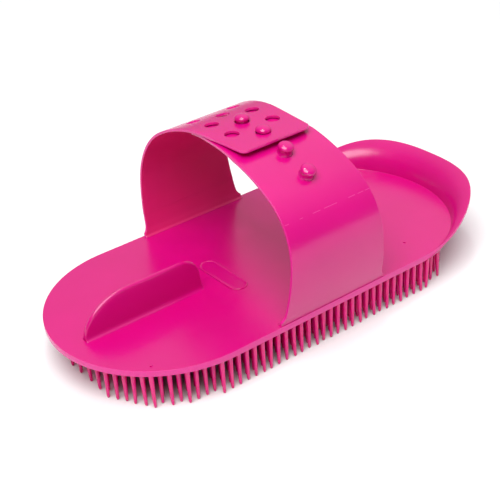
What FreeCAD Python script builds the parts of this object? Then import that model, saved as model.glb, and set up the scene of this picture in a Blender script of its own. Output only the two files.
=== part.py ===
"""Plastic curry comb with an adjustable hand strap, in millimetres.

Frame: +Z up, the bristle tips stand on z = 0, +X runs along the comb towards its cupped end,
and the origin is under the middle of the outer box. The comb is one flexible moulding. Its
strap leaves bend at two thin webs on the long edges of the deck, and the perforated tab at
the end of the far leaf is buttoned over studs on the near leaf.
"""
import FreeCAD, Part
import os
from math import asin, cos, degrees, hypot, pi, radians, sin

V = FreeCAD.Vector
os.makedirs("parts", exist_ok=True)

# --- driving dimensions -------------------------------------------------------------------
deck_half_width = 46.0
deck_straight = 93.0          # length of the two parallel sides
deck_thickness = 2.5
deck_top = 17.0               # above the surface that the tips stand on
cup_floor_reach = 42.0        # from the end of the straight sides to the floor's crease
cup_rim_reach = 51.0          # from the same place to the outermost point of the rim
cup_rim_height = 11.8         # rim above the deck at the tip of the cup
cup_rim_fade = 2.3            # exponent that lowers the rim towards the sides
cup_end_angle = 78.0          # the cup's wall fades out at this angle either side of the tip
cup_steps = 24                # sections along the cup's wall, less one
cove_run = 0.35               # the cove's control point, as shares of the wall's run and rise
cove_rise = 0.6
cove_thickening = (0.8, 2.2)  # the underside's control point, outwards and down from the cove's
cup_overlap = 1.0             # how far the lofted sections reach in over the floor
rim_fullness = 2.5            # exponent of the rim's rounded outline
rim_thickness = 1.3

toe_radius = deck_half_width
strap_x = -(cup_rim_reach - toe_radius) / 2   # middle of the strap, so that the box is centred
toe_centre_x = strap_x - deck_straight / 2
cup_centre_x = strap_x + deck_straight / 2
deck_bottom = deck_top - deck_thickness

leaf_thickness = 1.0
web_thickness = 0.7
web_height = 1.2
leaf_base = deck_top + web_height             # level where the stiff part of a leaf begins
leaf_half_width = 23.8                        # at the base
leaf_top_half_width = 18.9                    # at the top of the loop
leaf_foot_half_width = 25.3                   # with the flare into the deck's edge
leaf_foot_height = 4.0
foot_curve = (0.2, 0.5)                       # the flare's control point, out and up from the leaf's edge

side_radius = 73.0            # the leaf's side, from its base up to its widest point
bulge_half_width = 49.4
bulge_height = 22.0           # widest point above the leaf's base
strap_gap = 0.4               # between the near leaf and the far half that lies over it
crown_angle = 60.0            # the shoulder's arc gives way to the crown's arc here
far_shoulder_radius = 30.5
far_crown_height = 56.3       # outer face of the tab above the leaf's base
near_shoulder_radius = 27.0
near_crown_height = far_crown_height - leaf_thickness - strap_gap

tab_hinge_y = 28.5            # the tab bends up about this line of the far leaf
tab_end_y = -17.0
tab_end_half_width = 16.0
near_leaf_end_y = 17.5
near_leaf_end_half_width = 16.4
near_leaf_knee_y = -14.0      # the near leaf narrows from here to its free end
near_leaf_knee_half_width = 19.0
base_overrun = 1.5            # degrees by which a leaf's arc passes its base before it is trimmed
end_overrun = 1.0             # degrees by which it passes its free end
corner_radius = 2.5

stud_pitch = 12.9
first_stud_y = 4.8
stud_count = 4
stud_neck_diameter = 5.0
stud_neck_length = 2.3
stud_head_diameter = 6.0
stud_head_height = 1.9
stud_head_rim = 0.5           # upright part of the head under its dome
stud_root_depth = 0.5         # the neck starts this far inside the leaf before it is trimmed
stud_dome_fullness = 0.95
hole_diameter = 5.8
side_hole_x = 9.7
hole_rows = 3                 # rows of holes in each of the three columns
hole_cutter = 4.0             # reach of a hole's cutter to each side of the tab's outer face

rib_y = -3.5
rib_thickness = 1.8
rib_height = 15.0
rib_toe_x = strap_x - 83.5    # foot of the long rounded end
rib_toe_run = 20.0
rib_heel_x = strap_x - 31.0   # foot of the steep end
rib_heel_run = 9.0

bristle_pitch = 3.65          # along a row, which runs along the comb
bristle_row_pitch = 3.27      # between rows; every other row is shifted by half a pitch
bristle_rows = 28
bristle_band_rows = 4         # rows that are saved together as one sub-part
bristle_start_x = strap_x - 0.5
field_radius = 44.9           # limit of the bristles round the toe
far_toe_taper = 0.14          # how fast that limit closes in towards the tip on the far side
field_toe_reach = 38.5        # and their straight limit at the tip of the toe
field_cup_reach = 34.0        # limit of the bristles at the cup's end
bearing_rows = (0, 5, 11, 16, 22, 27)   # the first and last bristles of these rows bear the comb
bristle_root_diameter = 2.0
bristle_shoulder_diameter = 1.2
bristle_shoulder_height = 1.0
bristle_tip_diameter = 0.6

badge_x = strap_x - 19.5
badge_y = -2.0
badge_length = 27.0
badge_width = 8.0
badge_height = 0.4
gate_nub_radius = 0.5
gate_nub_height = 0.35


# --- helpers ------------------------------------------------------------------------------
def save(name, shape):
    """Write one sub-part as parts/NAME.step."""
    shape.exportStep("parts/" + name + ".step")


def line(a, b):
    return Part.LineSegment(a, b).toShape()


def box(x0, x1, y0, y1, z0, z1):
    return Part.makeBox(x1 - x0, y1 - y0, z1 - z0, V(x0, y0, z0))


def prism(points, direction):
    """Extrude a closed polygon of points along a vector."""
    return Part.Face(Part.makePolygon(points + points[:1])).extrude(direction)


def half_ellipse(centre_x, reach, half_width):
    """Right-hand half of an ellipse, from its lowest point to its highest one."""
    centre = V(centre_x, 0, 0)
    curve = Part.Ellipse(centre + V(0, half_width, 0), centre - V(reach, 0, 0), centre)
    return Part.Arc(curve, -pi, 0).toShape()


def deck_outline(inset=0.0):
    """Outline of the flat deck: two straight sides, a round toe and a half-elliptic cup end."""
    half = deck_half_width - inset
    reach = cup_floor_reach - inset
    near = line(V(toe_centre_x, -half, 0), V(cup_centre_x, -half, 0))
    cup = half_ellipse(cup_centre_x, reach, half)
    far = line(V(cup_centre_x, half, 0), V(toe_centre_x, half, 0))
    toe = Part.Arc(V(toe_centre_x, half, 0), V(toe_centre_x - half, 0, 0), V(toe_centre_x, -half, 0))
    return Part.Wire([near, cup, far, toe.toShape()])


# --- deck ---------------------------------------------------------------------------------
def deck_floor():
    plate = Part.Face(deck_outline()).extrude(V(0, 0, deck_thickness))
    return plate.translated(V(0, 0, deck_bottom))


def cup_section(angle):
    """Closed section of the cup's wall in the upright plane at an angle from the tip."""
    c = cos(radians(angle))
    s = sin(radians(angle))
    crease = 1 / hypot(c / cup_floor_reach, s / deck_half_width)
    fullness = rim_fullness
    rim = ((c / cup_rim_reach) ** fullness + abs(s / deck_half_width) ** fullness) ** (-1 / fullness)
    height = cup_rim_height * sin(pi / 2 * rim * c / cup_rim_reach) ** cup_rim_fade
    inside = crease - cup_overlap

    def at(radius, z):
        return V(cup_centre_x + radius * c, radius * s, z)

    cove = crease + cove_run * (rim - crease)
    cove_z = deck_top + cove_rise * height
    out, down = cove_thickening
    top_curve = Part.BezierCurve()
    top_curve.setPoles([at(crease, deck_top), at(cove, cove_z), at(rim, deck_top + height)])
    low_curve = Part.BezierCurve()
    low_curve.setPoles([
        at(rim, deck_top + height - rim_thickness),
        at(cove + out, cove_z - down),
        at(crease, deck_bottom),
    ])
    return Part.Wire([
        line(at(inside, deck_top), at(crease, deck_top)),
        top_curve.toShape(),
        line(at(rim, deck_top + height), at(rim, deck_top + height - rim_thickness)),
        low_curve.toShape(),
        line(at(crease, deck_bottom), at(inside, deck_bottom)),
        line(at(inside, deck_bottom), at(inside, deck_top)),
    ])


def cup_wall():
    angles = [cup_end_angle * (2 * i / cup_steps - 1) for i in range(cup_steps + 1)]
    wall = Part.makeLoft([cup_section(angle) for angle in angles], True, False, False, 3)
    floor_column = Part.Face(deck_outline()).extrude(V(0, 0, 4 * deck_top))
    return wall.cut(floor_column.translated(V(0, 0, -deck_top)))


def thumb_rib():
    """Upright blade on the toe half: a long rounded end, a level top and a steep end."""
    top = deck_top + rib_height
    toe_foot = V(rib_toe_x, 0, deck_top)
    toe_top = V(rib_toe_x + rib_toe_run, 0, top)
    toe_centre = V(toe_top.x, 0, deck_top)
    heel_foot = V(rib_heel_x, 0, deck_top)
    heel_top = V(rib_heel_x - rib_heel_run, 0, top)
    toe = Part.Arc(Part.Ellipse(toe_foot, toe_top, toe_centre), 0, pi / 2)
    heel = Part.BezierCurve()
    heel.setPoles([heel_top, heel_top + V(0.75 * rib_heel_run, 0, 0), heel_foot])
    outline = Part.Wire([toe.toShape(), line(toe_top, heel_top), heel.toShape(), line(heel_foot, toe_foot)])
    blade = Part.Face(outline).extrude(V(0, rib_thickness, 0))
    return blade.translated(V(0, rib_y - rib_thickness / 2, 0))


def blank_badge():
    """Plain raised tablet with round ends, lying across the comb under the strap."""
    radius = badge_width / 2
    span = badge_length - badge_width
    low = V(badge_x, badge_y - span / 2, deck_top)
    high = V(badge_x, badge_y + span / 2, deck_top)
    side = V(radius, 0, 0)
    up = V(0, radius, 0)
    outline = Part.Wire([
        line(low + side, high + side),
        Part.Arc(high + side, high + up, high - side).toShape(),
        line(high - side, low - side),
        Part.Arc(low - side, low - up, low + side).toShape(),
    ])
    return Part.Face(outline).extrude(V(0, 0, badge_height))


def gate_nubs():
    """Two cut-off moulding gates on the deck's top face."""
    places = [(strap_x - 74.0, -33.0), (strap_x + 49.0, -33.0)]
    nubs = [Part.makeCylinder(gate_nub_radius, gate_nub_height, V(x, y, deck_top)) for x, y in places]
    return Part.makeCompound(nubs)


# --- bristles -----------------------------------------------------------------------------
def bristle():
    """One tapered bristle with its flat tip on z = 0, as a solid of revolution."""
    profile = [
        V(0, 0, 0),
        V(bristle_tip_diameter / 2, 0, 0),
        V(bristle_shoulder_diameter / 2, 0, bristle_shoulder_height),
        V(bristle_root_diameter / 2, 0, deck_bottom),
        V(0, 0, deck_bottom),
    ]
    return Part.Face(Part.makePolygon(profile + profile[:1])).revolve(V(0, 0, 0), V(0, 0, 1), 360)


def in_field(x, y):
    """Whether a bristle may stand here: inside the round toe and the half-elliptic cup end."""
    if x < toe_centre_x:
        taper = 0 if y < 0 else far_toe_taper
        limit = field_radius - taper * (toe_centre_x - x)
        return hypot(x - toe_centre_x, y) <= limit and x >= toe_centre_x - field_toe_reach
    if x > cup_centre_x:
        return hypot((x - cup_centre_x) / field_cup_reach, y / field_radius) <= 1
    return abs(y) <= field_radius


def row_points(row):
    """Bristle places along one row, from the toe to the cup."""
    y = (row - (bristle_rows - 1) / 2) * bristle_row_pitch
    start = bristle_start_x + row % 2 * bristle_pitch / 2
    count = round(deck_straight / bristle_pitch)
    places = [start + bristle_pitch * i for i in range(-count, count + 1)]
    return [V(x, y, 0) for x in places if in_field(x, y)]


# --- strap --------------------------------------------------------------------------------
class Loop:
    """Outer profile of one half of the strap loop in the (y, z) plane, for the +Y side.

    Three arcs follow each other without a corner: the side, the shoulder and the crown.
    """

    def __init__(self, shoulder_radius, crown_height):
        lean = radians(crown_angle)
        self.side_centre = (bulge_half_width - side_radius, leaf_base + bulge_height)
        self.shoulder_radius = shoulder_radius
        self.shoulder_centre = (bulge_half_width - shoulder_radius, leaf_base + bulge_height)
        rise = crown_height - bulge_height
        self.crown_radius = (rise - shoulder_radius * sin(lean)) / (1 - sin(lean))
        back = shoulder_radius - self.crown_radius
        self.crown_y = self.shoulder_centre[0] + back * cos(lean)
        self.crown_z = self.shoulder_centre[1] + back * sin(lean)

    def crown_point(self, angle, depth=0.0):
        """Point on the crown arc, angle in radians from its highest point towards +Y."""
        radius = self.crown_radius - depth
        return V(0, self.crown_y + radius * sin(angle), self.crown_z + radius * cos(angle))

    def crown_lean(self, y):
        """Angle of the crown's outer face at a given y."""
        return asin((y - self.crown_y) / self.crown_radius)


def arc_edge(centre, radius, start, end):
    """Arc in the (y, z) plane between two angles in degrees, measured from +Y towards +Z."""
    def at(angle):
        return V(0, centre[0] + radius * cos(radians(angle)), centre[1] + radius * sin(radians(angle)))
    return Part.Arc(at(start), at((start + end) / 2), at(end)).toShape()


def side_chain(loop, depth, end_lean):
    """Profile from below the base over the shoulder, up to a lean of the crown arc in degrees."""
    start = -degrees(asin(bulge_height / side_radius)) - base_overrun
    return [
        arc_edge(loop.side_centre, side_radius - depth, start, 0),
        arc_edge(loop.shoulder_centre, loop.shoulder_radius - depth, 0, crown_angle),
        arc_edge((loop.crown_y, loop.crown_z), loop.crown_radius - depth, crown_angle, 90 - end_lean),
    ]


def tucked_chain(depth):
    """Near profile on the +Y side: level past its crown, then following the far crown's underside."""
    top = leaf_base + near_crown_height - depth
    radius = far_loop.crown_radius - leaf_thickness - strap_gap
    lean = degrees(asin((near_leaf_end_y - far_loop.crown_y) / radius)) + end_overrun
    return side_chain(near_loop, depth, 0) + [
        line(V(0, near_loop.crown_y, top), V(0, -far_loop.crown_y, top)),
        arc_edge((-far_loop.crown_y, far_loop.crown_z), radius - depth, 90, 90 + lean),
    ]


def sheet(outer, inner):
    """Close two parallel chains of edges into a face and extrude it across the strap, wide enough to trim."""
    start = line(inner[0].Vertexes[0].Point, outer[0].Vertexes[0].Point)
    end = line(outer[-1].Vertexes[-1].Point, inner[-1].Vertexes[-1].Point)
    outline = Part.Wire(Part.__sortEdges__([start] + outer + [end] + inner))
    width = 2 * leaf_foot_half_width + 10
    return Part.Face(outline).extrude(V(width, 0, 0)).translated(V(strap_x - width / 2, 0, 0))


def leaf_front_view():
    """Solid whose outline along Y is the tapering front view of a leaf with flared feet."""
    height = far_crown_height + 10
    slope = (leaf_half_width - leaf_top_half_width) / far_crown_height
    top_half = leaf_half_width - slope * height
    knee_half = leaf_half_width - slope * leaf_foot_height
    y = 2 * deck_half_width

    def at(half, rise):
        return V(strap_x + half, -y, leaf_base + rise)

    def foot(sign):
        curve = Part.BezierCurve()
        curve.setPoles([
            at(sign * leaf_foot_half_width, 0),
            at(sign * (leaf_half_width + foot_curve[0]), foot_curve[1]),
            at(sign * knee_half, leaf_foot_height),
        ])
        return curve.toShape()

    outline = Part.Wire(Part.__sortEdges__([
        foot(1),
        line(at(knee_half, leaf_foot_height), at(top_half, height)),
        line(at(top_half, height), at(-top_half, height)),
        line(at(-top_half, height), at(-knee_half, leaf_foot_height)),
        foot(-1),
        line(at(-leaf_foot_half_width, 0), at(leaf_foot_half_width, 0)),
    ]))
    return Part.Face(outline).extrude(V(0, 2 * y, 0))


def plan_view(stations):
    """Upright solid over a strip given by (y, half-width) pairs, with round corners at the last one."""
    left = [V(strap_x - half, y, deck_top) for y, half in stations]
    right = [V(strap_x + half, y, deck_top) for y, half in stations]
    end_y, end_half = stations[-1]
    solid = prism(left + right[::-1], V(0, 0, 2 * far_crown_height))
    corners = [
        edge for edge in solid.Edges
        if abs(edge.CenterOfMass.y - end_y) < 0.01 and abs(abs(edge.CenterOfMass.x - strap_x) - end_half) < 0.01
    ]
    return solid.makeFillet(corner_radius, corners)


def mirrored(shape):
    """The same shape on the -Y side."""
    return shape.mirror(V(0, 0, 0), V(0, 1, 0))


far_loop = Loop(far_shoulder_radius, far_crown_height)
near_loop = Loop(near_shoulder_radius, near_crown_height)


def far_leaf():
    lean = degrees(far_loop.crown_lean(tab_hinge_y))
    whole = sheet(side_chain(far_loop, 0, lean), side_chain(far_loop, leaf_thickness, lean))
    return whole.common(leaf_front_view())


def near_leaf():
    whole = mirrored(sheet(tucked_chain(0), tucked_chain(leaf_thickness)))
    # The plan is wider than the leaf everywhere but on its tongue, from the knee to the free end.
    plan = plan_view([
        (-2 * deck_half_width, 2 * leaf_half_width),
        (near_leaf_knee_y, near_leaf_knee_half_width),
        (near_leaf_end_y, near_leaf_end_half_width),
    ])
    return whole.common(leaf_front_view()).common(plan)


def hinge_web(side):
    """Thin strip on the deck's edge that carries a leaf, on the side +1 (far) or -1 (near)."""
    outer = side * deck_half_width
    inner = outer - side * web_thickness
    half = leaf_foot_half_width
    return box(strap_x - half, strap_x + half, min(outer, inner), max(outer, inner), deck_top, leaf_base)


def face_point(loop, run):
    """Place and outward normal on a loop's outer face, for the +Y side, in the middle of the strap.

    The run is measured along the face from the crown's highest line, positive down the crown's
    arc. Both halves of the strap are level on the other side of that line.
    """
    angle = max(run, 0) / loop.crown_radius
    place = loop.crown_point(angle) + V(strap_x, min(run, 0), 0)
    return place, V(0, sin(angle), cos(angle))


def tab_holes():
    """Cutters for the three staggered columns of holes."""
    first_run = first_stud_y - stud_pitch - far_loop.crown_y
    cutters = []
    for column in (-1, 0, 1):
        for row in range(hole_rows):
            run = first_run + row * stud_pitch + abs(column) * stud_pitch / 2
            place, normal = face_point(far_loop, run)
            start = place + V(column * side_hole_x, 0, 0) - normal * hole_cutter
            cutters.append(Part.makeCylinder(hole_diameter / 2, 2 * hole_cutter, start, normal))
    return Part.makeCompound(cutters)


def strap_tab():
    lean = degrees(far_loop.crown_lean(tab_hinge_y))
    crown = (far_loop.crown_y, far_loop.crown_z)
    top = leaf_base + far_crown_height

    def chain(depth):
        z = top - depth
        return [
            arc_edge(crown, far_loop.crown_radius - depth, 90 - lean, 90),
            line(V(0, far_loop.crown_y, z), V(0, tab_end_y, z)),
        ]

    slope = (leaf_half_width - leaf_top_half_width) / far_crown_height
    hinge_z = far_loop.crown_point(radians(lean)).z
    hinge_half = leaf_half_width - slope * (hinge_z - leaf_base)
    plan = plan_view([(tab_hinge_y + 2, hinge_half), (tab_end_y, tab_end_half_width)])
    return sheet(chain(0), chain(leaf_thickness)).common(plan).cut(tab_holes())


def stud(index):
    """Mushroom-headed stud standing square on the near leaf, number 1 nearest the crown."""
    neck = stud_neck_diameter / 2
    head = stud_head_diameter / 2
    root = -stud_root_depth
    under = stud_neck_length
    rim = under + stud_head_rim
    top = under + stud_head_height
    dome = Part.BezierCurve()
    dome.setPoles([V(head, 0, rim), V(head * stud_dome_fullness, 0, top), V(0, 0, top)])
    outline = Part.Wire([
        line(V(0, 0, root), V(neck, 0, root)),
        line(V(neck, 0, root), V(neck, 0, under)),
        line(V(neck, 0, under), V(head, 0, under)),
        line(V(head, 0, under), V(head, 0, rim)),
        dome.toShape(),
        line(V(0, 0, top), V(0, 0, root)),
    ])
    body = Part.Face(outline).revolve(V(0, 0, 0), V(0, 0, 1), 360)
    place, normal = face_point(near_loop, index * stud_pitch - first_stud_y - near_loop.crown_y)
    body.rotate(V(0, 0, 0), V(1, 0, 0), -degrees(asin(normal.y)))
    body.translate(place)
    return mirrored(body)


# --- write every sub-part -----------------------------------------------------------------
save("deck_floor", deck_floor())
save("cup_wall", cup_wall())
save("thumb_rib", thumb_rib())
save("blank_badge", blank_badge())
save("gate_nubs", gate_nubs())

one_bristle = bristle()
bearing = []
for band in range(bristle_rows // bristle_band_rows):
    pins = []
    for row in range(band * bristle_band_rows, (band + 1) * bristle_band_rows):
        row_pins = [one_bristle.translated(point) for point in row_points(row)]
        if row in bearing_rows:
            bearing += [row_pins.pop(0), row_pins.pop()]
        pins += row_pins
    save("bristle_band_%d" % (band + 1), Part.makeCompound(pins))
save("bearing_bristles", Part.makeCompound(bearing))

save("far_hinge_web", hinge_web(1))
save("near_hinge_web", hinge_web(-1))
save("far_strap_leaf", far_leaf())
near_sheet = near_leaf()
save("near_strap_leaf", near_sheet)
save("strap_tab", strap_tab())
for number in range(stud_count):
    save("stud_%d" % (number + 1), stud(number).cut(near_sheet))
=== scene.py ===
"""Looks for the plastic curry comb: moulded sheets, bristles, studs, floor, light and camera.

Sizes are metres in the row frame. The strap's two halves repeat the profile of the CAD leaves:
a side arc, a shoulder arc and a crown arc, with the tab running on level from the far crown.
"""
import random
from math import asin, cos, hypot, pi, radians, sin, sqrt

import bmesh
import bpy
from mathutils import Matrix, Vector


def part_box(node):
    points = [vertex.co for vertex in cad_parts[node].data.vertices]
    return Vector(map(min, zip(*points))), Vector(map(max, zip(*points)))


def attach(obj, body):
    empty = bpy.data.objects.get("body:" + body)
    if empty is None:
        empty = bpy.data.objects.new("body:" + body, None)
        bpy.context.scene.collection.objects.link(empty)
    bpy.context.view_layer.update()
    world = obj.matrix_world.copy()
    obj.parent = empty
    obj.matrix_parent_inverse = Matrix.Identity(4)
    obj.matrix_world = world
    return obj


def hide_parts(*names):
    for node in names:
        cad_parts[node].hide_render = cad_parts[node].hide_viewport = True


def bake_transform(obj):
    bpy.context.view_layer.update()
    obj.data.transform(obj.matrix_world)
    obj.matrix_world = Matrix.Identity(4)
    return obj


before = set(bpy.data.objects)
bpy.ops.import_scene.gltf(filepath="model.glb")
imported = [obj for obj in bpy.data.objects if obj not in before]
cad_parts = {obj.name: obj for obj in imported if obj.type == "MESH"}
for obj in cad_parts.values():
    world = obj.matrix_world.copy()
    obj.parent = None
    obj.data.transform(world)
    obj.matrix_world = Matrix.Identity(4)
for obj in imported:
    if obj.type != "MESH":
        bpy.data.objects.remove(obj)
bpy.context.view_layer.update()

MM = 0.001

# --- places and sizes read from the frame ---------------------------------------------------
deck_low, deck_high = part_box("deck_floor")
_, cup_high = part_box("cup_wall")
web_low, web_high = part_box("far_hinge_web")
_, leaf_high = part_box("far_strap_leaf")
tab_low, tab_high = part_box("strap_tab")
_, near_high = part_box("near_strap_leaf")

DECK_TOP = deck_high.z
DECK_BOTTOM = deck_low.z
HALF_WIDTH = deck_high.y
STRAP_X = (web_low.x + web_high.x) / 2
TOE_X = deck_low.x + HALF_WIDTH            # centre of the round toe
CUP_X = 2 * STRAP_X - TOE_X                # end of the straight sides at the cup
FLOOR_REACH = deck_high.x - CUP_X          # from there to the crease of the cup
RIM_REACH = cup_high.x - CUP_X
RIM_HEIGHT = cup_high.z - DECK_TOP
RIM_THICKNESS = 1.3 * MM
RIM_FULLNESS = 2.5
RIM_FADE = 2.3
WALL_FOOT = 0.13                           # share of the way out where the wall's curve turns
WALL_TURN = 0.78                           # and the share of its height there

LEAF_BASE = web_high.z
LEAF_THICKNESS = 1.0 * MM
FOOT_HALF = (web_high.x - web_low.x) / 2
FOOT_HEIGHT = 4 * MM
FOOT_FILLET = 1.2 * MM
BEND = 9 * MM                              # height over which a leaf bends above the deck's edge
LEAF_HALF = 23.8 * MM
LEAF_TOP_HALF = 18.9 * MM
SIDE_RADIUS = 73 * MM
BULGE_HALF = leaf_high.y
BULGE_HEIGHT = 22 * MM
CROWN_LEAN = radians(60)
FAR_SHOULDER = 30.5 * MM
NEAR_SHOULDER = 27 * MM
FAR_CROWN = tab_high.z - LEAF_BASE
NEAR_CROWN = near_high.z - LEAF_BASE
TAB_HINGE_Y = tab_high.y
TAB_END_Y = tab_low.y
TAB_END_HALF = 16 * MM
NEAR_END_Y = near_high.y
NEAR_END_HALF = 16.4 * MM
NEAR_KNEE_Y = -14 * MM
NEAR_KNEE_HALF = 19 * MM
STRAP_GAP = 0.4 * MM
CORNER = 2.5 * MM

HOLE_RADIUS = 2.9 * MM
SIDE_HOLE_X = 9.7 * MM
STUD_PITCH = 12.9 * MM
FIRST_STUD_Y = 4.8 * MM
SEAM_OVERLAP = 0.1 * MM
SEAM_MARGIN = 0.01 * MM                    # rim points this close to a joined edge are on it

LEDGE = 0.25 * MM                          # the leaf's foot stands this far in from the deck's side
EDGE_ROUND = 0.35 * MM
SCUFF_LEVEL = 56.5 * MM                     # the near leaf is marked along a line at this level
SCUFF_HALF = 0.1 * MM
SCUFF_COLOUR = (0.8, 0.12, 0.42)
random.seed(7)


# --- materials ------------------------------------------------------------------------------
PINK = ((0.55, 0.0006, 0.17), (0.6, 0.0012, 0.188))


def plastic(
    name, grain=1.0, scuffs=0.0, mottle=0.0, colours=PINK, glow=(0.12, 0.0015), satin=0.17
):
    """Soft satin polyethylene: saturated pink, a faint moulding grain, optional scuffs and mottle.

    Glow is the weight of the light that passes under the surface, and how far it goes. Satin is
    the lowest roughness, to which a noise is added.
    """
    material = bpy.data.materials.new(name)
    material.use_nodes = True
    nodes = material.node_tree.nodes
    links = material.node_tree.links
    shader = nodes["Principled BSDF"]
    shader.inputs["IOR"].default_value = 1.55
    shader.inputs["Subsurface Weight"].default_value = glow[0]
    shader.inputs["Subsurface Radius"].default_value = (1.0, 0.15, 0.35)
    shader.inputs["Subsurface Scale"].default_value = glow[1]
    place = nodes.new("ShaderNodeTexCoord").outputs["Object"]

    def noise(scale, detail, roughness=0.5):
        node = nodes.new("ShaderNodeTexNoise")
        node.inputs["Scale"].default_value = scale
        node.inputs["Detail"].default_value = detail
        node.inputs["Roughness"].default_value = roughness
        links.new(place, node.inputs["Vector"])
        return node.outputs["Fac"]

    def ramp(source, stops):
        node = nodes.new("ShaderNodeValToRGB")
        elements = node.color_ramp.elements
        while len(elements) < len(stops):
            elements.new(0.5)
        for element, (position, colour) in zip(elements, stops):
            element.position = position
            element.color = (*colour, 1)
        links.new(source, node.inputs["Fac"])
        return node.outputs["Color"]

    def maths(operation, first, second):
        node = nodes.new("ShaderNodeMath")
        node.operation = operation
        for socket, value in zip(node.inputs, (first, second)):
            if isinstance(value, (int, float)):
                socket.default_value = value
            else:
                links.new(value, socket)
        return node.outputs["Value"]

    flow = noise(28, 3)
    colour = ramp(flow, [(0.3, colours[0]), (0.7, colours[1])])
    links.new(colour, shader.inputs["Base Color"])
    rough = maths("MULTIPLY_ADD", noise(160, 4), 0.1)
    rough.node.inputs[2].default_value = satin
    fine = maths("MULTIPLY", noise(2600, 3, 0.7), 0.35 * grain)
    soft = maths("MULTIPLY", noise(120, 2), 1.0)
    height = maths("ADD", fine, soft)
    if mottle:
        height = maths("ADD", height, maths("MULTIPLY", noise(900, 5, 0.8), mottle))
    if scuffs:
        scratch = nodes.new("ShaderNodeTexNoise")
        scratch.inputs["Scale"].default_value = 600
        scratch.inputs["Detail"].default_value = 2
        stretch = nodes.new("ShaderNodeMapping")
        stretch.inputs["Scale"].default_value = (0.35, 0.05, 0.05)
        links.new(place, stretch.inputs["Vector"])
        links.new(stretch.outputs["Vector"], scratch.inputs["Vector"])
        level = nodes.new("ShaderNodeSeparateXYZ")
        links.new(place, level.inputs["Vector"])
        off = maths("ABSOLUTE", maths("SUBTRACT", level.outputs["Z"], SCUFF_LEVEL), 0)
        on_line = maths("LESS_THAN", off, SCUFF_HALF)
        marks = maths("MULTIPLY", on_line, maths("LESS_THAN", level.outputs["Y"], 0))
        marks = maths("MULTIPLY", marks, maths("GREATER_THAN", scratch.outputs["Fac"], 0.5))
        height = maths("ADD", height, maths("MULTIPLY", marks, scuffs))
        paler = nodes.new("ShaderNodeMix")
        paler.data_type = "RGBA"
        paler.inputs["B"].default_value = (*SCUFF_COLOUR, 1)
        links.new(maths("MULTIPLY", marks, 0.3), paler.inputs["Factor"])
        links.new(colour, paler.inputs["A"])
        links.new(paler.outputs["Result"], shader.inputs["Base Color"])
    links.new(rough, shader.inputs["Roughness"])
    bump = nodes.new("ShaderNodeBump")
    bump.inputs["Strength"].default_value = 0.22
    bump.inputs["Distance"].default_value = 0.00012
    links.new(height, bump.inputs["Height"])
    links.new(bump.outputs["Normal"], shader.inputs["Normal"])
    return material


def paper(name, shade):
    """Matt white for the floor."""
    material = bpy.data.materials.new(name)
    material.use_nodes = True
    shader = material.node_tree.nodes["Principled BSDF"]
    shader.inputs["Base Color"].default_value = (shade, shade, shade, 1)
    shader.inputs["Roughness"].default_value = 0.9
    shader.inputs["Specular IOR Level"].default_value = 0.1
    return material


# Paler pink for rims and rounded edges: a painted highlight for the light that the edges catch.
PAINTED_HIGHLIGHT_PINK = ((0.66, 0.012, 0.24), (0.7, 0.016, 0.26))
RIPE = ((0.66, 0.0005, 0.175), (0.72, 0.0009, 0.195))
# Darker crimson for the strap's inner faces: painted shade for the dim light inside the loop.
PAINTED_SHADE_CRIMSON = ((0.56, 0.0004, 0.12), (0.62, 0.0008, 0.135))
# Darker copy of the strap's pink for the deck and the parts moulded on it: painted shade for the
# deck's lower light.
SHADED_DECK_PINK = ((0.52, 0.0006, 0.155), (0.57, 0.001, 0.175))
SHADED_DECK_PLASTIC = plastic("pink_plastic_deck_painted_shade", mottle=0.9, colours=SHADED_DECK_PINK)
STRAP_PLASTIC = plastic("pink_plastic_strap", scuffs=0.5)
TAB_PLASTIC = plastic("pink_plastic_tab", mottle=0.6, glow=(0.25, 0.002))
EDGE_HIGHLIGHT_PLASTIC = plastic("pink_plastic_edge_painted_highlight", grain=0.5, colours=PAINTED_HIGHLIGHT_PINK)
# The strap's inner faces, darker and rougher: painted shade.
INSIDE_SHADE_PLASTIC = plastic("pink_plastic_inside_painted_shade", colours=PAINTED_SHADE_CRIMSON, satin=0.5)
STUD_PLASTIC = plastic("pink_plastic_stud", grain=0.3, satin=0.06)
BRISTLE_PLASTIC = plastic("pink_plastic_bristle", grain=0.4, colours=RIPE, glow=(0.45, 0.004))


# --- mesh helpers ---------------------------------------------------------------------------
def link(name, mesh, material):
    piece = bpy.data.objects.new(name, mesh)
    bpy.context.scene.collection.objects.link(piece)
    mesh.materials.append(material)
    return piece


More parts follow.
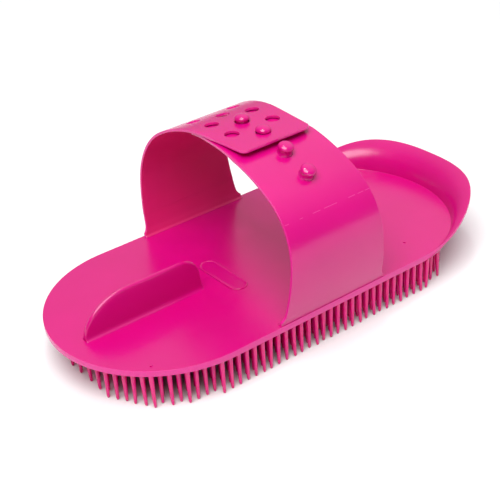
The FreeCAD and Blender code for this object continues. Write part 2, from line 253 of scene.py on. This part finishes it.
class Sheet:
    """A closed sheet built from matching outer and inner points, with rounded free edges."""

    def __init__(self):
        self.outer = []
        self.inner = []
        self.found = {}
        self.faces = []

    def point(self, key, outer, inner):
        """Index of a point, made once for each key."""
        if key not in self.found:
            self.found[key] = len(self.outer)
            self.outer.append(Vector(outer))
            self.inner.append(Vector(inner))
        return self.found[key]

    def face(self, *indices):
        corners = []
        for index in indices:
            if index not in corners:
                corners.append(index)
        if len(corners) > 2:
            self.faces.append(corners)

    def build(self, name, material, seam=None, rounding=EDGE_ROUND, inside=None):
        """Make the object. seam(point) is true for rim points that join another piece."""
        count = len(self.outer)
        mesh = bmesh.new()
        top = [mesh.verts.new(co) for co in self.outer]
        low = [mesh.verts.new(co) for co in self.inner]
        edge_use = {}
        for corners in self.faces:
            mesh.faces.new([top[i] for i in corners])
            # Inner faces take the inside material when one is given, a darker crimson painted
            # shade.
            mesh.faces.new([low[i] for i in reversed(corners)]).material_index = 2 if inside else 0
            for a, b in zip(corners, corners[1:] + corners[:1]):
                edge_use.setdefault(frozenset((a, b)), []).append((a, b))
        rim = [use[0] for use in edge_use.values() if len(use) == 1]
        for a, b in rim:
            # Rim faces take the paler edge colour, a painted highlight.
            mesh.faces.new([top[b], top[a], low[a], low[b]]).material_index = 1
        weight = mesh.edges.layers.float.new("bevel_weight_edge")
        for a, b in rim:
            joined = seam and seam(self.outer[a]) and seam(self.outer[b])
            for layer in (top, low):
                mesh.edges.get((layer[a], layer[b]))[weight] = 0.0 if joined else 1.0
        bmesh.ops.recalc_face_normals(mesh, faces=mesh.faces)
        for face in mesh.faces:
            face.smooth = True
        data = bpy.data.meshes.new(name)
        mesh.to_mesh(data)
        mesh.free()
        piece = link(name, data, material)
        bevel = piece.modifiers.new("rounding", "BEVEL")
        bevel.limit_method = "WEIGHT"
        bevel.width = rounding
        bevel.segments = 3
        # The rounded edge faces take the same paler colour, a painted highlight.
        bevel.material = 1
        piece.data.materials.append(EDGE_HIGHLIGHT_PLASTIC)
        # Slot 2 holds the inside material, painted shade.
        if inside:
            piece.data.materials.append(inside)
        return piece


def spread(low, high, steps):
    return [low + (high - low) * i / steps for i in range(steps + 1)]


def ease(t):
    t = min(max(t, 0.0), 1.0)
    return t * t * (3 - 2 * t)


# --- deck and cup ---------------------------------------------------------------------------
def outline_point(t, inset):
    """Point on the deck's outline, inset from the edge. t runs 0 to 4: near, cup, far, toe."""
    half = HALF_WIDTH - inset
    part = min(int(t), 3)
    u = t - part
    if part == 0:
        return Vector((TOE_X + (CUP_X - TOE_X) * u, -half, 0))
    if part == 1:
        angle = pi * (u - 0.5)
        c, s = cos(angle), sin(angle)
        reach = 1 / hypot(c / (FLOOR_REACH - inset), s / half)
        return Vector((CUP_X + reach * c, reach * s, 0))
    if part == 2:
        return Vector((CUP_X + (TOE_X - CUP_X) * u, half, 0))
    angle = pi * (u + 0.5)
    return Vector((TOE_X + half * cos(angle), half * sin(angle), 0))


def cup_section(u):
    """Outer limits of the cup's wall in the plane at a share u of the way round the cup end."""
    angle = pi * (u - 0.5)
    c, s = cos(angle), sin(angle)
    crease = 1 / hypot(c / FLOOR_REACH, s / HALF_WIDTH)
    fullness = (c / RIM_REACH) ** RIM_FULLNESS + abs(s / HALF_WIDTH) ** RIM_FULLNESS
    rim = fullness ** (-1 / RIM_FULLNESS)
    height = RIM_HEIGHT * sin(pi / 2 * min(1, rim * c / RIM_REACH)) ** RIM_FADE
    return c, s, crease, rim, height


def bezier(a, b, c, t):
    return a * (1 - t) ** 2 + b * 2 * t * (1 - t) + c * t * t


def wall_point(u, v):
    """Upper and lower point of the cup's wall, v from 0 at the crease to 1 at the rim."""
    c, s, crease, rim, height = cup_section(u)
    middle = crease + WALL_FOOT * (rim - crease)
    radius = bezier(crease, middle, rim, v)
    z = bezier(0, WALL_TURN * height, height, v)
    low_radius = bezier(crease, middle + 0.8 * MM, rim, v)
    low_turn = WALL_TURN * height - 1.8 * MM
    low_z = bezier(DECK_BOTTOM - DECK_TOP, low_turn, height - RIM_THICKNESS, v)
    fade = ease((0.5 - abs(u - 0.5)) / 0.06)
    radius = crease + (radius - crease) * fade
    low_radius = crease + (low_radius - crease) * fade
    z *= fade
    low_z = DECK_BOTTOM - DECK_TOP + (low_z - DECK_BOTTOM + DECK_TOP) * fade
    upper = Vector((CUP_X + radius * c, radius * s, DECK_TOP + z))
    lower = Vector((CUP_X + low_radius * c, low_radius * s, DECK_TOP + low_z))
    return upper, lower


def moulded_deck():
    """Deck floor and cup wall as one continuous moulding."""
    sheet = Sheet()
    steps = (48, 72, 48, 60)
    stations = [part + i / steps[part] for part in range(4) for i in range(steps[part])]
    insets = [0, 0.15, 0.9, 3, 6, 10, 15, 20, 25, 30, 35, 39, 41.5]
    rings = []
    for inset in insets:
        ring = []
        for t in stations:
            place = outline_point(t, inset * MM)
            upper = Vector((place.x, place.y, DECK_TOP))
            lower = Vector((place.x, place.y, DECK_BOTTOM))
            ring.append(sheet.point((round(t, 6), inset), upper, lower))
        rings.append(ring)
    count = len(stations)
    for outside, inside in zip(rings, rings[1:]):
        for i in range(count):
            j = (i + 1) % count
            sheet.face(outside[i], outside[j], inside[j], inside[i])
    sheet.face(*rings[-1])
    levels = [0, 0.015, 0.08, 0.2, 0.35, 0.5, 0.65, 0.8, 0.92, 1]
    first = steps[0]
    walls = []
    for k in range(steps[1] + 1):
        column = [rings[0][(first + k) % count]]
        for v in levels[1:]:
            upper, lower = wall_point(k / steps[1], v)
            at_end = k in (0, steps[1])
            column.append(column[0] if at_end else sheet.point(("wall", k, v), upper, lower))
        walls.append(column)
    for left, right in zip(walls, walls[1:]):
        for a in range(len(levels) - 1):
            sheet.face(left[a], left[a + 1], right[a + 1], right[a])
    piece = sheet.build("moulded_deck", SHADED_DECK_PLASTIC, rounding=0.45 * MM)
    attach(piece, "comb_body")
    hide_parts("deck_floor", "cup_wall")


# --- strap ----------------------------------------------------------------------------------
class Loop:
    """Outer profile of one half of the strap, measured as a run from its highest line."""

    def __init__(self, side, shoulder, crown, level=0.0):
        self.side = side
        self.level = level
        self.shoulder = shoulder
        self.shoulder_y = BULGE_HALF - shoulder
        self.centre_z = LEAF_BASE + BULGE_HEIGHT
        rise = crown - BULGE_HEIGHT
        self.crown = (rise - shoulder * sin(CROWN_LEAN)) / (1 - sin(CROWN_LEAN))
        back = shoulder - self.crown
        self.crown_y = self.shoulder_y + back * cos(CROWN_LEAN)
        self.crown_z = self.centre_z + back * sin(CROWN_LEAN)
        self.run_shoulder = self.crown * (pi / 2 - CROWN_LEAN)
        self.run_side = self.run_shoulder + shoulder * CROWN_LEAN
        self.side_drop = asin(BULGE_HEIGHT / SIDE_RADIUS)
        self.run_base = self.run_side + SIDE_RADIUS * self.side_drop
        self.run_end = self.run_base + LEAF_BASE - DECK_TOP

    def at(self, run):
        """Point and outward normal on the outer face. Both halves are level past the crown."""
        side = self.side
        if run < -self.level:
            angle = (-run - self.level) / TUCK_RADIUS
            ny, nz = -sin(angle), cos(angle)
            y, z = -FAR.crown_y + TUCK_RADIUS * ny, FAR.crown_z + TUCK_RADIUS * nz
        elif run < self.run_shoulder:
            angle = max(run, 0) / self.crown
            ny, nz = sin(angle), cos(angle)
            y, z = self.crown_y + self.crown * ny + min(run, 0), self.crown_z + self.crown * nz
        elif run < self.run_side:
            angle = CROWN_LEAN - (run - self.run_shoulder) / self.shoulder
            ny, nz = cos(angle), sin(angle)
            y, z = self.shoulder_y + self.shoulder * ny, self.centre_z + self.shoulder * nz
        elif run < self.run_base:
            angle = (run - self.run_side) / SIDE_RADIUS
            ny, nz = cos(angle), -sin(angle)
            y, z = BULGE_HALF - SIDE_RADIUS + SIDE_RADIUS * ny, self.centre_z + SIDE_RADIUS * nz
        else:
            ny, nz = 1.0, 0.0
            y, z = HALF_WIDTH, LEAF_BASE - (run - self.run_base)
        step_in = LEDGE * ease(1 - (z - DECK_TOP) / (3 * MM))
        return Vector((0, side * (y - step_in), z)), Vector((0, side * ny, nz))

    def thickness(self, run):
        """Sheet thickness, with a round fillet over the deck on the inside of the foot."""
        rise = max(self.run_end - run, 0)
        fillet = 0.0
        if rise < FOOT_FILLET:
            fillet = FOOT_FILLET - sqrt(FOOT_FILLET ** 2 - (FOOT_FILLET - rise) ** 2)
        return LEAF_THICKNESS + fillet


FAR = Loop(1, FAR_SHOULDER, FAR_CROWN, level=1.0)
NEAR = Loop(-1, NEAR_SHOULDER, NEAR_CROWN)
NEAR.level = NEAR.crown_y + FAR.crown_y
TUCK_RADIUS = FAR.crown - LEAF_THICKNESS - STRAP_GAP


def leaf_half(z):
    """Half-width of a leaf at a level, with the flare into the deck's edge."""
    rise = max(z - LEAF_BASE, 0)
    slope = (LEAF_HALF - LEAF_TOP_HALF) / FAR_CROWN
    half = LEAF_HALF - slope * rise
    flare = max(0.0, 1 - rise / FOOT_HEIGHT)
    return half + (FOOT_HALF - LEAF_HALF) * flare ** 3.2


def corner_cut(distance):
    """How far a rounded corner pulls the side in, at a distance from the free end."""
    if distance >= CORNER:
        return 0.0
    return CORNER - sqrt(CORNER ** 2 - (CORNER - distance) ** 2)


def strap_point(sheet, loop, run, x, key):
    place, normal = loop.at(run)
    outer = place + Vector((STRAP_X + x, 0, 0))
    return sheet.point(key, outer, outer - normal * loop.thickness(run))


def plain_rows(sheet, loop, runs, half_at, columns, name):
    """A strip of quads down a leaf, with a constant number of columns."""
    rows = []
    for run in runs:
        half = half_at(run)
        row = []
        for share in columns:
            row.append(strap_point(sheet, loop, run, share * half, (name, round(run, 7), share)))
        rows.append(row)
    for upper, lower in zip(rows, rows[1:]):
        for a in range(len(columns) - 1):
            sheet.face(upper[a], lower[a], lower[a + 1], upper[a + 1])
    return rows


def end_rows(end_run, steps=6):
    """Runs through the rounded corners of a free end, closer together near the end."""
    return [end_run + CORNER * (1 - cos(pi / 2 * i / steps)) for i in range(steps + 1)]


COLUMNS = [
    -1, -0.97, -0.9, -0.75, -0.6, -0.45, -0.3, -0.15, 0,
    0.15, 0.3, 0.45, 0.6, 0.75, 0.9, 0.97, 1,
]


def near_leaf():
    """The near leaf and its hinge web as one sheet that bends at the deck's edge."""
    sheet = Sheet()
    lean = asin((NEAR_END_Y - FAR.crown_y) / TUCK_RADIUS)
    end_run = -NEAR.level - TUCK_RADIUS * lean

    def half_at(run):
        place, _ = NEAR.at(run)
        share = (place.y - NEAR_KNEE_Y) / (NEAR_END_Y - NEAR_KNEE_Y)
        tongue = NEAR_KNEE_HALF + (NEAR_END_HALF - NEAR_KNEE_HALF) * share
        limit = tongue if share > 0 else LEAF_HALF * 2
        return min(leaf_half(place.z), limit) - corner_cut(run - end_run)

    corner = end_rows(end_run)
    body = spread(corner[-1], NEAR.run_end - BEND, 52)[1:]
    foot = foot_runs(NEAR)
    plain_rows(sheet, NEAR, corner + body + foot[1:], half_at, COLUMNS, "near")

    def seam(point):
        return point.z < DECK_TOP + SEAM_MARGIN

    piece = sheet.build("near_leaf_sheet", STRAP_PLASTIC, seam=seam, inside=INSIDE_SHADE_PLASTIC)
    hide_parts("near_strap_leaf", "near_hinge_web")
    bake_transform(piece)


def foot_runs(loop):
    """Rows from the top of the bend down into the deck, close together round the fillet."""
    bend = spread(loop.run_end - BEND, loop.run_end - FOOT_FILLET, 12)
    fillet = [loop.run_end - FOOT_FILLET * (1 - sin(pi / 2 * i / 5)) for i in range(1, 6)]
    return bend + fillet


def far_leaf_foot():
    """Lowest part of the far leaf, with its hinge web, bending at the deck's edge."""
    sheet = Sheet()

    def half_at(run):
        return leaf_half(FAR.at(run)[0].z)

    top = FAR.run_end - BEND
    runs = [top - SEAM_OVERLAP, top] + foot_runs(FAR)[1:]
    plain_rows(sheet, FAR, runs, half_at, COLUMNS, "foot")
    joined = FAR.at(top)[0].z - SEAM_MARGIN

    def seam(point):
        return point.z < DECK_TOP + SEAM_MARGIN or point.z > joined

    piece = sheet.build("far_leaf_foot", STRAP_PLASTIC, seam=seam, inside=INSIDE_SHADE_PLASTIC)
    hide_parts("far_hinge_web")
    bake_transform(piece)


def far_leaf_and_tab():
    """Shoulder of the far leaf and the perforated tab as one sheet that bends at the tab's line."""
    sheet = Sheet()
    cell = SIDE_HOLE_X / 2
    step = STUD_PITCH / 12
    across = 8
    first = FIRST_STUD_Y - STUD_PITCH - FAR.crown_y
    end_run = TAB_END_Y - FAR.crown_y
    edge_columns = 3
    hinge_run = FAR.crown * asin((TAB_HINGE_Y - FAR.crown_y) / FAR.crown)

    def half_at(run):
        """Half-width: narrow at the tab's end, and the leaf's own width past the bend line."""
        hinge_half = leaf_half(FAR.at(hinge_run)[0].z)
        if run >= hinge_run:
            return leaf_half(FAR.at(run)[0].z)
        y = FAR.at(run)[0].y
        share = (y - TAB_END_Y) / (TAB_HINGE_Y - TAB_END_Y)
        return TAB_END_HALF + (hinge_half - TAB_END_HALF) * share - corner_cut(run - end_run)

    def across_position(run, column):
        """x of one of the fixed lines: -3 cells to 3 cells, and shares of the margin beyond."""
        inner = 3 * cell
        half = half_at(run)
        squeeze = min(1.0, (half - 0.4 * MM) / inner)
        if abs(column) <= 3:
            return column * cell * squeeze
        share = (abs(column) - 3) / edge_columns
        edge = inner * squeeze + (half - inner * squeeze) * share
        return edge if column > 0 else -edge

    def at(run, column):
        x = across_position(run, column)
        return strap_point(sheet, FAR, run, x, (round(run, 7), round(column, 5)))

    def quad_strip(runs, columns):
        for r0, r1 in zip(runs, runs[1:]):
            for c0, c1 in zip(columns, columns[1:]):
                sheet.face(at(r0, c0), at(r1, c0), at(r1, c1), at(r0, c1))

    def hole_cell(centre_run, centre_column):
        """Rings of quads between a hole and the four sides of its cell."""
        half_steps = 6
        low, high = centre_run - half_steps * step, centre_run + half_steps * step
        lines = cell_lines(centre_column)
        rows = [low + step * i for i in range(2 * half_steps + 1)]
        border = [(low, c) for c in lines[:-1]] + [(r, lines[-1]) for r in rows[:-1]]
        border += [(high, c) for c in reversed(lines[1:])]
        border += [(r, lines[0]) for r in reversed(rows[1:])]
        rings = 5
        spokes = []
        for run, column in border:
            dx = (column - centre_column) * cell
            dr = run - centre_run
            length = hypot(dx, dr)
            spoke = [at(run, column)]
            for k in range(1, rings + 1):
                share = (k / rings) ** 0.8
                radius = length + (HOLE_RADIUS - length) * share
                x = centre_column * cell + dx / length * radius
                r = centre_run + dr / length * radius
                hole = ("hole", round(centre_run, 6), centre_column)
                key = (*hole, round(run, 6), round(column, 4), k)
                spoke.append(strap_point(sheet, FAR, r, x, key))
            spokes.append(spoke)
        for left, right in zip(spokes, spokes[1:] + spokes[:1]):
            for k in range(rings):
                sheet.face(left[k], left[k + 1], right[k + 1], right[k])

    def cell_lines(centre_column):
        return [centre_column - 1 + 2 * i / across for i in range(across + 1)]

    holes = {
        column: [first + (row + abs(column) / 4) * STUD_PITCH for row in range(3)]
        for column in (-2, 0, 2)
    }
    centre_start = holes[0][0] - 6 * step
    corner = [run for run in end_rows(end_run) if run < centre_start - 0.2 * step]
    last = holes[2][-1] + 6 * step
    runs_before = {0: corner + [centre_start]}
    runs_before[2] = corner + [centre_start + step * i for i in range(7)]
    for column in (-2, 0, 2):
        quad_strip(runs_before[abs(column)], cell_lines(column))
        for run in holes[column]:
            hole_cell(run, column)
    after = [holes[0][-1] + 6 * step + step * i for i in range(7)]
    quad_strip(after, cell_lines(0))
    row_count = round((last - centre_start) / step) + 1
    all_rows = corner + [centre_start + step * i for i in range(row_count)]
    margin = [3 + i for i in range(edge_columns + 1)]
    quad_strip(all_rows, margin)
    quad_strip(all_rows, [-m for m in reversed(margin)])
    everything = [-m for m in reversed(margin[1:])] + cell_lines(-2) + cell_lines(0)[1:] + \
        cell_lines(2)[1:] + margin[1:]
    foot_top = FAR.run_end - BEND
    lower_rows = spread(last, foot_top - SEAM_OVERLAP, 40) + [foot_top]
    quad_strip(lower_rows, everything)
    joined = FAR.at(foot_top - SEAM_OVERLAP)[0].z + SEAM_MARGIN

    def seam(point):
        return point.z < joined

    piece = sheet.build("far_leaf_and_tab", TAB_PLASTIC, seam=seam, inside=INSIDE_SHADE_PLASTIC)
    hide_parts("far_strap_leaf", "strap_tab")
    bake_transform(piece)


def studs():
    """Mushroom-headed studs with a soft fillet where they grow out of the near leaf."""
    neck, head = 2.5 * MM, 3.0 * MM
    under, top = 2.3 * MM, 4.2 * MM
    profile = [
        (neck + 0.5 * MM, -0.05 * MM), (neck + 0.2 * MM, 0.12 * MM), (neck + 0.03 * MM, 0.45 * MM),
        (neck, under - 0.3 * MM), (neck + 0.1 * MM, under - 0.08 * MM), (head - 0.15 * MM, under),
        (head, under + 0.15 * MM), (head, under + 0.45 * MM),
    ]
    dome_steps = 8
    for i in range(1, dome_steps + 1):
        angle = pi / 2 * i / dome_steps
        radius = head * cos(angle) ** 0.85 if i < dome_steps else 0.0
        rise = (top - under - 0.45 * MM) * sin(angle)
        profile.append((radius, under + 0.45 * MM + rise))
    first_run = -FIRST_STUD_Y - NEAR.crown_y
    turns = 40
    for number in range(4):
        base, normal = NEAR.at(first_run + number * STUD_PITCH)
        mesh = bmesh.new()
        rows = []
        for radius, height in profile[:-1]:
            angles = [2 * pi * k / turns for k in range(turns)]
            rows.append([
                mesh.verts.new((radius * cos(a), radius * sin(a), height)) for a in angles
            ])
        tip = mesh.verts.new((0, 0, profile[-1][1]))
        for low, high in zip(rows, rows[1:]):
            for k in range(turns):
                j = (k + 1) % turns
                mesh.faces.new([low[k], low[j], high[j], high[k]])
        for k in range(turns):
            mesh.faces.new([rows[-1][k], rows[-1][(k + 1) % turns], tip])
        mesh.faces.new(list(reversed(rows[0])))
        for face in mesh.faces:
            face.smooth = True
        data = bpy.data.meshes.new("stud")
        mesh.to_mesh(data)
        mesh.free()
        turn = normal.to_track_quat("Z", "Y").to_matrix().to_4x4()
        data.transform(Matrix.Translation(base + Vector((STRAP_X, 0, 0))) @ turn)
        piece = link("stud_%d_head" % (number + 1), data, STUD_PLASTIC)
        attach(piece, "near_strap")
        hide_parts("stud_%d" % (number + 1))


# --- rib, badge and nubs --------------------------------------------------------------------
def thumb_rib():
    """Upright blade with a rounded crest and a small fillet where it meets the deck."""
    low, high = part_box("thumb_rib")
    toe_run = 20 * MM
    heel_run = 9 * MM
    height = high.z - DECK_TOP
    y0 = (low.y + high.y) / 2
    half = (high.y - low.y) / 2

    def crest(t):
        """Outline point over the foot, t from 0 at the toe to 3 at the heel."""
        if t <= 1:
            angle = pi / 2 * t
            return low.x + toe_run * (1 - cos(angle)), height * sin(angle)
        if t <= 2:
            return low.x + toe_run + (high.x - heel_run - low.x - toe_run) * (t - 1), height
        if t <= 2.6:
            angle = pi / 2 * (t - 2) / 0.6
            x = high.x - heel_run + 0.9 * heel_run * sin(angle)
            return x, height - 0.5 * height * (1 - cos(angle))
        u = (t - 2.6) / 0.4
        return high.x - 0.1 * heel_run * (1 - u), 0.5 * height * (1 - u)

    stations = spread(0, 1, 24) + spread(1, 2, 10)[1:]
    stations += spread(2, 2.6, 14)[1:] + spread(2.6, 3, 5)[1:]
    levels = [0, 0.004, 0.015, 0.035, 0.06, 0.1, 0.2, 0.5, 0.75, 0.93, 0.97, 1]
    mesh = bmesh.new()
    sides = {1: [], -1: []}
    for t in stations:
        x, z = crest(t)
        for side in (1, -1):
            column = []
            for level in levels:
                rise = z * level
                drop = (z - rise) / MM
                reach = min(1.4 * MM, z)
                short = max(reach - rise, 0)
                fillet = reach - sqrt(reach ** 2 - short ** 2)
                crown = half * sqrt(max(0.0, 1 - (1 - min(drop / 0.8, 1)) ** 2))
                thick = max(crown, 0.05 * MM) + fillet
                column.append(mesh.verts.new((x, y0 + side * thick, DECK_TOP - 0.02 * MM + rise)))
            sides[side].append(column)
    for side in (1, -1):
        for a, b in zip(sides[side], sides[side][1:]):
            for k in range(len(levels) - 1):
                mesh.faces.new([a[k], b[k], b[k + 1], a[k + 1]])
    for a, b, c, d in zip(sides[1], sides[1][1:], sides[-1][1:], sides[-1]):
        mesh.faces.new([a[-1], b[-1], c[-1], d[-1]])
        mesh.faces.new([a[0], d[0], c[0], b[0]])
    for end in (0, -1):
        right, left = sides[1][end], sides[-1][end]
        for k in range(len(levels) - 1):
            mesh.faces.new([right[k], right[k + 1], left[k + 1], left[k]])
    bmesh.ops.remove_doubles(mesh, verts=mesh.verts, dist=0.004 * MM)
    bmesh.ops.recalc_face_normals(mesh, faces=mesh.faces)
    for face in mesh.faces:
        face.smooth = True
    data = bpy.data.meshes.new("thumb_rib_blade")
    mesh.to_mesh(data)
    mesh.free()
    piece = link("thumb_rib_blade", data, SHADED_DECK_PLASTIC)
    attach(piece, "comb_body")
    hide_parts("thumb_rib")


# --- bristles -------------------------------------------------------------------------------
BRISTLE_LENGTH = 14.5                      # in mm, as are the profile and the lean


def bristle_profile():
    """Radius and height of a bristle in mm, from a small flare at its root to its blunt tip."""
    return [
        (1.3, 14.5), (1.1, 14.25), (0.99, 13.7), (0.89, 10.5), (0.76, 6.0),
        (0.65, 2.2), (0.58, 0.9), (0.46, 0.35), (0.31, 0.08), (0.15, 0.0),
    ]


def bristle_mesh(name, places, lean=0.35):
    """One mesh of bristles at a list of places, each tip off to a side by up to lean in mm."""
    mesh = bmesh.new()
    turns = 12
    profile = bristle_profile()
    for x, y in places:
        sway_x = random.uniform(-lean, lean)
        sway_y = random.uniform(-lean, lean)
        twist = random.uniform(0, pi)
        rows = []
        for radius, height in profile:
            bend = ((DECK_BOTTOM / MM - height) / BRISTLE_LENGTH) ** 2
            cx = x + sway_x * bend * MM
            cy = y + sway_y * bend * MM
            rows.append([
                mesh.verts.new((
                    cx + radius * MM * cos(twist + 2 * pi * k / turns),
                    cy + radius * MM * sin(twist + 2 * pi * k / turns),
                    height * MM,
                ))
                for k in range(turns)
            ])
        for high, low in zip(rows, rows[1:]):
            for k in range(turns):
                j = (k + 1) % turns
                mesh.faces.new([low[k], low[j], high[j], high[k]]).smooth = True
        mesh.faces.new(rows[0])
        mesh.faces.new(list(reversed(rows[-1])))
    data = bpy.data.meshes.new(name)
    mesh.to_mesh(data)
    mesh.free()
    return link(name, data, BRISTLE_PLASTIC)


def solid_centres(node):
    """Middle of each separate solid of a CAD node, seen from above."""
    mesh = bmesh.new()
    mesh.from_mesh(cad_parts[node].data)
    bmesh.ops.remove_doubles(mesh, verts=mesh.verts, dist=0.001 * MM)
    seen = set()
    centres = []
    for start in mesh.verts:
        if start.index in seen:
            continue
        seen.add(start.index)
        stack, low, high = [start], start.co.copy(), start.co.copy()
        while stack:
            vertex = stack.pop()
            low = Vector(map(min, low, vertex.co))
            high = Vector(map(max, high, vertex.co))
            for edge in vertex.link_edges:
                other = edge.other_vert(vertex)
                if other.index not in seen:
                    seen.add(other.index)
                    stack.append(other)
        centres.append(((low.x + high.x) / 2, (low.y + high.y) / 2))
    mesh.free()
    return centres


def bristles():
    for node in sorted(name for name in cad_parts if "bristle" in name):
        piece = bristle_mesh(node + "_pins", solid_centres(node))
        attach(piece, "comb_body")
        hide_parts(node)


def blank_tablet():
    """Plain tablet with round ends and a narrow raised border."""
    low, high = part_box("blank_badge")
    x, y = (low.x + high.x) / 2, (low.y + high.y) / 2
    half, reach = (high.x - low.x) / 2, (high.y - low.y) / 2
    rise = high.z - DECK_TOP
    section = [
        (0, -0.02 * MM), (0.03 * MM, 0.6 * rise), (0.15 * MM, 0.9 * rise), (0.3 * MM, rise),
        (0.6 * MM, rise), (0.75 * MM, 0.9 * rise), (0.95 * MM, 0.35 * rise),
        (1.1 * MM, 0.3 * rise), (2.2 * MM, 0.3 * rise), (3.2 * MM, 0.3 * rise),
    ]
    turns = 24
    mesh = bmesh.new()
    rings = []
    for inset, height in section:
        ring = []
        for end in (1, -1):
            for k in range(turns + 1):
                angle = pi * k / turns
                across = end * (half - inset) * cos(angle)
                along = end * (reach - half + (half - inset) * sin(angle))
                ring.append(mesh.verts.new((x + across, y + along, DECK_TOP + height)))
        rings.append(ring)
    for outside, inside in zip(rings, rings[1:]):
        for k in range(len(outside)):
            j = (k + 1) % len(outside)
            mesh.faces.new([outside[k], outside[j], inside[j], inside[k]])
    mesh.faces.new(rings[-1])
    mesh.faces.new(list(reversed(rings[0])))
    bmesh.ops.recalc_face_normals(mesh, faces=mesh.faces)
    for face in mesh.faces:
        face.smooth = True
    data = bpy.data.meshes.new("blank_tablet")
    mesh.to_mesh(data)
    mesh.free()
    piece = link("blank_tablet", data, SHADED_DECK_PLASTIC)
    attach(piece, "comb_body")
    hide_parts("blank_badge")


def gate_marks():
    """The moulding gates keep their CAD shape and get the deck's darker pink, a painted shade."""
    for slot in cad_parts["gate_nubs"].material_slots:
        slot.material = SHADED_DECK_PLASTIC


# --- floor, light and camera ----------------------------------------------------------------
def floor():
    data = bpy.data.meshes.new("floor")
    half = 3.0
    corners = [(-half, -half, 0), (half, -half, 0), (half, half, 0), (-half, half, 0)]
    data.from_pydata(corners, [], [(0, 1, 2, 3)])
    piece = bpy.data.objects.new("floor", data)
    bpy.context.scene.collection.objects.link(piece)
    data.materials.append(paper("floor_paper", 0.82))


def area_light(name, place, aim, size, power):
    data = bpy.data.lights.new(name, "AREA")
    data.shape = "DISK"
    data.size = size
    data.energy = power
    lamp = bpy.data.objects.new(name, data)
    bpy.context.scene.collection.objects.link(lamp)
    lamp.location = place
    lamp.rotation_mode = "QUATERNION"
    lamp.rotation_quaternion = (Vector(aim) - Vector(place)).to_track_quat("-Z", "Y")


def lights():
    """A large soft box, a faint fill, a small lamp for glints, and a dome brightest overhead."""
    middle = (0, 0, 0.04)
    area_light("key", (-0.64, -0.5, 1.6), middle, 1.6, 43)
    area_light("fill", (-0.4, -0.8, 0.3), middle, 0.5, 0.5)
    area_light("glint", (0.08, 0.12, 1.2), middle, 0.1, 1.2)
    world = bpy.data.worlds.new("studio")
    bpy.context.scene.world = world
    world.use_nodes = True
    nodes = world.node_tree.nodes
    links = world.node_tree.links
    facing = nodes.new("ShaderNodeVectorMath")
    facing.operation = "DOT_PRODUCT"
    facing.inputs[1].default_value = Vector((0.55, 0.25, 0.8)).normalized()
    links.new(nodes.new("ShaderNodeTexCoord").outputs["Generated"], facing.inputs[0])
    share = nodes.new("ShaderNodeMapRange")
    share.inputs["From Min"].default_value = -1.0
    links.new(facing.outputs["Value"], share.inputs["Value"])
    ceiling = nodes.new("ShaderNodeValToRGB")
    links.new(share.outputs["Result"], ceiling.inputs["Fac"])
    stops = ((0.4, 0.03), (0.55, 0.08), (0.72, 0.1), (0.85, 0.25), (0.93, 0.33), (1.0, 0.5))
    elements = ceiling.color_ramp.elements
    while len(elements) < len(stops):
        elements.new(0.5)
    for element, (position, shade) in zip(elements, stops):
        element.position = position
        element.color = (shade, shade, shade, 1)
    background = nodes["Background"]
    links.new(ceiling.outputs["Color"], background.inputs["Color"])
    background.inputs["Strength"].default_value = 1.9


def camera():
    """Camera seen from the toe's near side, a little over the strap."""
    azimuth, elevation, roll = radians(-35.579), radians(30.647), radians(-4.236)
    back = Vector((sin(azimuth) * cos(elevation), -cos(azimuth) * cos(elevation), sin(elevation)))
    right = Vector((cos(azimuth), sin(azimuth), 0))
    up = back.cross(right)
    rolled_right = right * cos(roll) + up * sin(roll)
    rolled_up = up * cos(roll) - right * sin(roll)
    data = bpy.data.cameras.new("camera")
    data.sensor_width = 36
    data.lens = 83.29
    data.clip_start = 0.01
    lens = bpy.data.objects.new("camera", data)
    bpy.context.scene.collection.objects.link(lens)
    turn = Matrix((rolled_right, rolled_up, back)).transposed().to_4x4()
    place = Vector((STRAP_X - 0.2352, -0.3230, LEAF_BASE + 0.2383))
    lens.matrix_world = Matrix.Translation(place) @ turn
    bpy.context.scene.camera = lens


camera()
floor()
lights()
moulded_deck()
thumb_rib()
near_leaf()
far_leaf_foot()
far_leaf_and_tab()
studs()
bristles()
blank_tablet()
gate_marks()
bpy.context.scene.view_settings.view_transform = "Standard"
